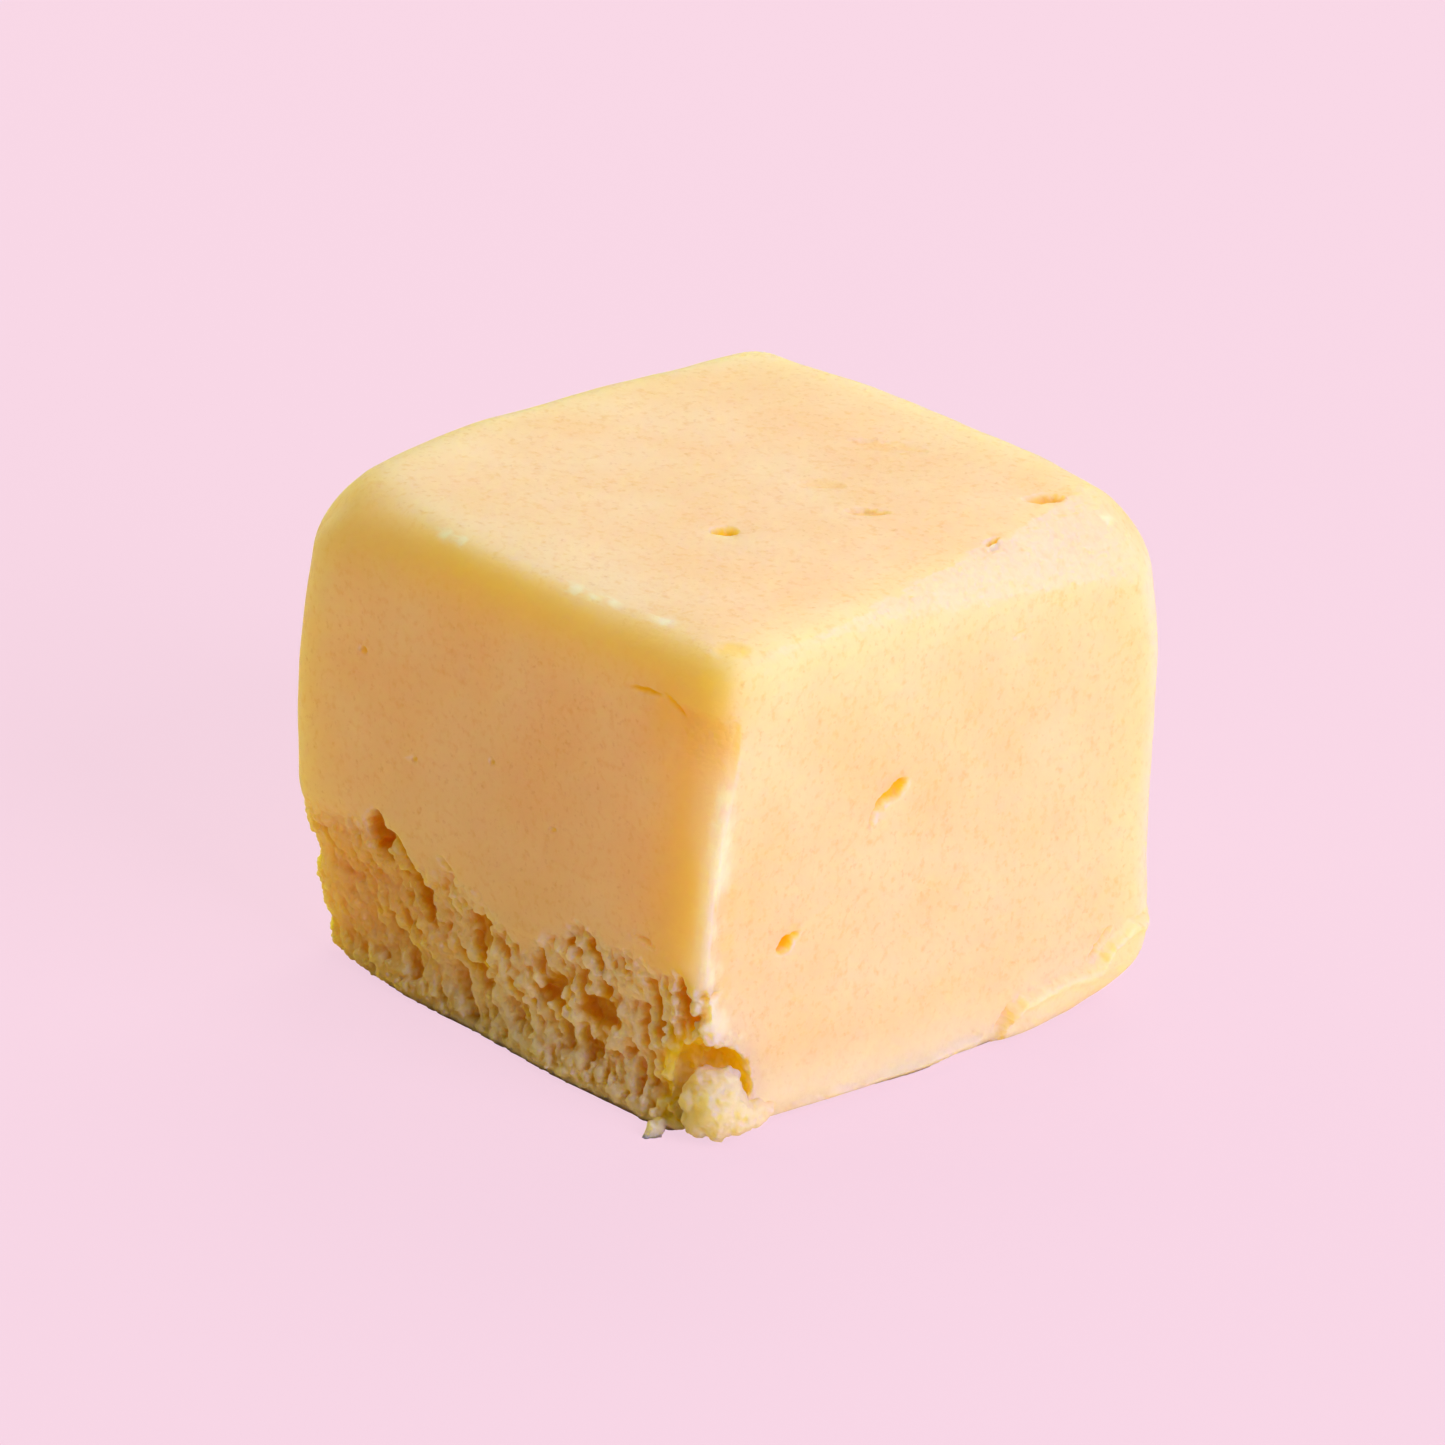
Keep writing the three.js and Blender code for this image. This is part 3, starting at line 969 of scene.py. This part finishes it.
# %% Mark the painted golden shade
points, normals = read_points(block), read_normals(block)
depth = depth_under_skin(points)
lump = crumb_near(points)
torn = torn_share(points, normals)
in_socket = 1 - smooth(1.1, 1.3, np.linalg.norm((points - SOCKET_AT) / SOCKET_RADII, axis=1))
wall = np.maximum(golden_shade_wall(points), in_socket * smooth(0.2, 0.5, depth)) * (1 - lump)
lump_left = lump * (1 - smooth(-1.5, -0.2, (points - CRUMB_AT) @ ALONG_DIAGONAL))
# painted golden shade: in the pits, on the wall and in the socket beside the lump, and on the
# lump's shaded left side
write_mark("golden_shade", np.maximum.reduce([wall, pit_golden_shade(points, normals), 0.5 * lump_left]))

# %% Mark the painted shade in deep places, and the broken places
below = smooth(0.0, 2.5, below_skin(points)) * torn
far_tear = below * (1 - smooth(-7, 2, points[:, 0]))
foot_tear = torn * (1 - smooth(0.3, 2.5, points[:, 2]))
# painted shade: deep torn places, the tear's far left end and its foot are darkened
inner = np.maximum.reduce([smooth(0.12, 0.65, depth), 0.5 * far_tear, 0.6 * foot_tear])
write_mark("deep_shade", inner * (1 - lump))
write_mark("broken", smooth(0.05, 0.25, depth) * (1 - lump) * (1 - 0.9 * wall))
print("deepest point under the skin in mm:", round(depth.max(), 2))

# %% Mark the worn edges, the painted highlights, the sugar and the painted glow
rubbed = rubbed_share(points, normals)
# painted highlight along the front edge and along the far right rim
front_highlight = facing(normals, (0.707, -0.707, 0), 0.80, 0.98) * smooth(5, 8, points[:, 2])
front_highlight *= 1 - smooth(15, 19, points[:, 2])
far_rim_highlight = facing(normals, (0.707, 0.707, 0), 0.78, 0.97) * smooth(6, 9, points[:, 1])
# the worn mark holds real rubbed wear and painted highlight together
write_mark("worn", np.maximum.reduce([0.4 * rubbed, front_highlight, 0.6 * far_rim_highlight]))

# painted light: the crests of the tear, the loose lump and the foot of the lit side are made
# paler, along with the real dried sugar
crest_highlights = torn * (1 - smooth(0.1, 0.5, depth)) * smooth(-7, 2, points[:, 0])
foot_painted_light = facing(normals, (1, 0, 0), 0.3, 0.8) * (1 - smooth(0.5, 4.0, points[:, 2]))
pale = (0.35 * lump, 0.5 * crest_highlights, 0.7 * foot_painted_light, sugar_share(points))
write_mark("pale", np.maximum.reduce(pale))
# painted glow along the front and upper edges of the shaded side
write_mark("edge_glow", edge_glow_share(points, normals))

# %% [markdown]
# ## Fudge material
# Fudge is creamy and lets light in a few millimetres, red furthest, so shaded edges glow
# golden. A plain diffuse colour would look like painted plaster, so the light is followed
# under the surface. The colour is a little uneven and dried sugar is nearly white. Painted
# shade makes the deep torn places and the pits golden, a painted glow adds to the real one
# along the shaded edges, and painted highlights lie on the front edge, the far rim, the lump,
# the torn crests and the lit foot. A fine grain bump breaks up the soft shine.


# %% Colours
def tone(red, green, blue):
    """A colour given as it looks on a screen, as the linear values that shaders use."""
    screen = np.array([red, green, blue]) / 255
    linear = np.where(screen <= 0.04045, screen / 12.92, ((screen + 0.055) / 1.055) ** 2.4)
    return (*linear, 1.0)


CREAM = tone(253, 218, 177)     # the skin
BUTTER = tone(250, 210, 162)    # its darker clouds
SPECK = tone(238, 184, 108)
PORE = tone(214, 150, 84)
EDGE_GLOW = tone(254, 206, 128)      # painted glow: light from the lit sides shining through the shaded side's edges
WORN_AND_HIGHLIGHT = tone(255, 222, 214)      # rubbed edges, and a painted highlight on the front edge and the far right rim
DEEP_SHADE = tone(229, 168, 46)      # painted shade deep in the tear, at its far left end and at its foot
GOLDEN_SHADE = tone(255, 203, 36)     # painted golden shade in pits, round the loose lump and on its shaded side
# dried sugar, and also painted light on the lump, the torn crests and the lit foot
SUGAR_AND_HIGHLIGHT = tone(255, 241, 212)
# how far red, green and blue light travels
GLOW_REACH = (9.0 * MM, 7.0 * MM, 0.5 * MM)
print("cream in linear values:", [round(float(v), 3) for v in CREAM[:3]])


# %% Helpers for materials
def new_material(name):
    """A new material and its emptied node tree."""
    material = bpy.data.materials.new(name)
    material.use_nodes = True
    material.node_tree.nodes.clear()
    return material, material.node_tree


def add(tree, kind, inputs=None, **settings):
    """A shader node. An input is a value, or another node's output that is linked to it."""
    node = tree.nodes.new("ShaderNode" + kind)
    for name, value in settings.items():
        setattr(node, name, value)
    for socket, value in (inputs or {}).items():
        if isinstance(value, bpy.types.NodeSocket):
            tree.links.new(value, node.inputs[socket])
        else:
            node.inputs[socket].default_value = value
    return node


def cloud(tree, scale, detail, roughness=0.5):
    """Noise in space; scale is how many lumps there are in a metre."""
    inputs = {
        "Vector": add(tree, "TexCoord").outputs["Object"],
        "Scale": scale, "Detail": detail, "Roughness": roughness,
    }
    return add(tree, "TexNoise", inputs).outputs["Fac"]


def spread(tree, value, low, high, to_low=0.0, to_high=1.0):
    """Stretches the values between low and high over another range."""
    inputs = {
        "Value": value, "From Min": low, "From Max": high, "To Min": to_low, "To Max": to_high,
    }
    return add(tree, "MapRange", inputs).outputs["Result"]


def blend(tree, share, first, second):
    """The first colour where share is 0 and the second where it is 1."""
    # a colour mix takes its two colours in sockets 6 and 7 and gives the result in socket 2
    return add(tree, "Mix", {"Factor": share, 6: first, 7: second}, data_type="RGBA").outputs[2]


def mark(tree, name):
    """A number that was written on the points of the mesh."""
    return add(tree, "Attribute", attribute_name=name).outputs["Fac"]


# %% Layers of colour
# noise scales, in lumps per metre
MOTTLE, SPECKS, PORES = 220, 2600, 3800


def fudge_colour(tree):
    """Uneven cream with specks, then a layer for each mark."""
    colour = blend(tree, spread(tree, cloud(tree, MOTTLE, 4), 0.35, 0.65), CREAM, BUTTER)
    specks = spread(tree, cloud(tree, SPECKS, 3), 0.52, 0.78, 0.0, 0.5)
    colour = blend(tree, specks, colour, SPECK)
    pores = spread(tree, cloud(tree, PORES, 2), 0.62, 0.74, 0.0, 0.22)
    colour = blend(tree, pores, colour, PORE)
    # in turn: painted glow, wear with painted highlights, painted deep shade, painted golden
    # shade
    for name, layer in (("edge_glow", EDGE_GLOW), ("worn", WORN_AND_HIGHLIGHT), ("deep_shade", DEEP_SHADE), ("golden_shade", GOLDEN_SHADE)):
        colour = blend(tree, mark(tree, name), colour, layer)
    # the pale mark: dried sugar, and painted light on the lump, the crests and the lit foot
    return blend(tree, spread(tree, mark(tree, "pale"), 0, 1, 0, 0.8), colour, SUGAR_AND_HIGHLIGHT)


# %% Bumps
# noise scales, in lumps per metre
CRUMB_BUMPS, LUMP_BUMPS, GRAIN_BUMPS = 2800, 1100, 5000


def fudge_bumps(tree):
    """Packed crumbs where it is broken, soft lumps, and a fine grain over both."""
    place = add(tree, "TexCoord").outputs["Object"]
    crumbs = add(tree, "Bump", {
        "Height": add(tree, "TexVoronoi", {"Vector": place, "Scale": CRUMB_BUMPS}).outputs[0],
        "Strength": spread(tree, mark(tree, "broken"), 0, 1, 0.0, 0.8),
        "Distance": 0.14 * MM,
    }, invert=True)
    lumps = add(tree, "Bump", {
        "Height": cloud(tree, LUMP_BUMPS, 3),
        "Strength": 0.6,
        "Distance": 0.12 * MM,
        "Normal": crumbs.outputs["Normal"],
    })
    grain = add(tree, "Bump", {
        "Height": cloud(tree, GRAIN_BUMPS, 4, 0.6),
        "Strength": 0.5,
        "Distance": 0.05 * MM,
        "Normal": lumps.outputs["Normal"],
    })
    return grain.outputs["Normal"]


# %% The fudge material
SHINE = 900   # noise scale of the uneven shine


def glow_share(tree):
    """Light travels less far where the fudge is broken, or pale with sugar or painted light."""
    return add(tree, "Math", {
        0: spread(tree, mark(tree, "broken"), 0, 1, 1.0, 0.5),
        1: spread(tree, mark(tree, "pale"), 0, 1, 1.0, 0.25),
    }, operation="MULTIPLY").outputs["Value"]


def fudge_material():
    material, tree = new_material("butter_fudge")
    shader = add(tree, "BsdfPrincipled", {
        "Base Color": fudge_colour(tree),
        "Roughness": spread(tree, cloud(tree, SHINE, 3), 0.3, 0.7, 0.5, 0.7),
        "IOR": 1.45,
        "Specular IOR Level": 0.35,
        "Subsurface Weight": 1.0,
        "Subsurface Radius": GLOW_REACH,
        "Subsurface Scale": glow_share(tree),
        "Normal": fudge_bumps(tree),
    }, subsurface_method="RANDOM_WALK")
    add(tree, "OutputMaterial", {"Surface": shader.outputs["BSDF"]})
    return material


# %% [markdown]
# ## Hand the piece over
# The frame is in metres, so the points are scaled last. The piece rides the body "root",
# stands in for the plain solid, and gets the new fudge material.

# %% Place the piece in the frame
write_points(block, read_points(block) * MM)
block.data.materials.clear()
block.data.materials.append(fudge_material())
for polygon in block.data.polygons:
    polygon.use_smooth = True
print("nodes in the fudge material:", len(block.active_material.node_tree.nodes))
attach(block, "root")
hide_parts("fudge")

# %% [markdown]
# ## Floor
# The photograph's background is plain, pale pink and evenly bright. A floor that is only
# lit would darken towards its far end, so most of what the camera sees is emission. The
# floor's own tint would colour the fudge from below, so other rays meet a warm floor.

# %% Floor
FLOOR_HALF = 1.5
FLOOR_TONE = tone(248, 215, 232)    # as the camera sees it
BOUNCE_TONE = tone(255, 228, 174)   # as the fudge sees it
SHADOW_SHARE = 0.12                 # how much of the cube's shadow the camera sees


def floor_material():
    """Even and pink to the camera with a faint shadow, a warm diffuse floor to other rays."""
    material, tree = new_material("floor")
    even = add(tree, "Emission", {"Color": FLOOR_TONE})
    seen_lit = add(tree, "BsdfPrincipled", {"Base Color": FLOOR_TONE, "Roughness": 0.9})
    seen = add(tree, "MixShader", {
        "Fac": SHADOW_SHARE, 1: even.outputs[0], 2: seen_lit.outputs[0],
    })
    lit = add(tree, "BsdfPrincipled", {"Base Color": BOUNCE_TONE, "Roughness": 0.9})
    shader = add(tree, "MixShader", {
        "Fac": add(tree, "LightPath").outputs["Is Camera Ray"],
        1: lit.outputs[0], 2: seen.outputs[0],
    })
    add(tree, "OutputMaterial", {"Surface": shader.outputs[0]})
    return material


bpy.ops.object.select_all(action="DESELECT")
bpy.ops.mesh.primitive_plane_add(size=2 * FLOOR_HALF)
floor = bpy.context.object
floor.name = "floor"
floor.data.materials.append(floor_material())
print("floor in metres:", 2 * FLOOR_HALF)

# %% [markdown]
# ## Light
# A large soft light stands to the right and above, as a window does, with a weak one over
# it. A weak warm one fills the shaded side, and two from behind and from the left make the
# far edges glow. One sky picture could do it all, but lamps can be set one by one. The
# Standard view keeps the colours as bright and clear as they are in the photograph.

# %% Lights
LIGHT_DISTANCE, LIGHT_SIZE = 0.5, 0.30
# degrees round from the -Y side, degrees up, watts, colour
LIGHTS = {
    "window": (90, 30, 2.25, (1.0, 0.892, 1.07)),
    "window_top": (110, 50, 0.12, (1.0, 0.98, 1.1)),
    "fill": (-66, 42, 0.50, (1.0, 0.92, 0.48)),
    "rim": (-150, 40, 1.12, (1.06, 1.06, 0.92)),
    "left": (-100, 25, 0.50, (1.0, 1.08, 0.75)),
}


def soft_light(name, azimuth, height, power, colour):
    """A square area light that faces the cube."""
    towards = way_out(azimuth, height)
    light = bpy.data.lights.new(name, "AREA")
    light.shape, light.size, light.energy, light.color = "SQUARE", LIGHT_SIZE, power, colour
    lamp = bpy.data.objects.new(name, light)
    lamp.location = CAMERA_AIM + towards * LIGHT_DISTANCE
    lamp.rotation_mode = "QUATERNION"
    lamp.rotation_quaternion = towards.to_track_quat("Z", "Y")
    scene.collection.objects.link(lamp)


for name, settings in LIGHTS.items():
    soft_light(name, *settings)
print("lights:", list(LIGHTS))

# %% The sky and the view
WORLD_COLOUR = (1.0, 1.0, 0.55, 1.0)
WORLD_STRENGTH = 0.09

world = bpy.data.worlds.new("studio")
scene.world = world
world.use_nodes = True
background = world.node_tree.nodes["Background"]
background.inputs["Color"].default_value = WORLD_COLOUR
background.inputs["Strength"].default_value = WORLD_STRENGTH
scene.view_settings.view_transform = "Standard"
print("view:", scene.view_settings.view_transform)
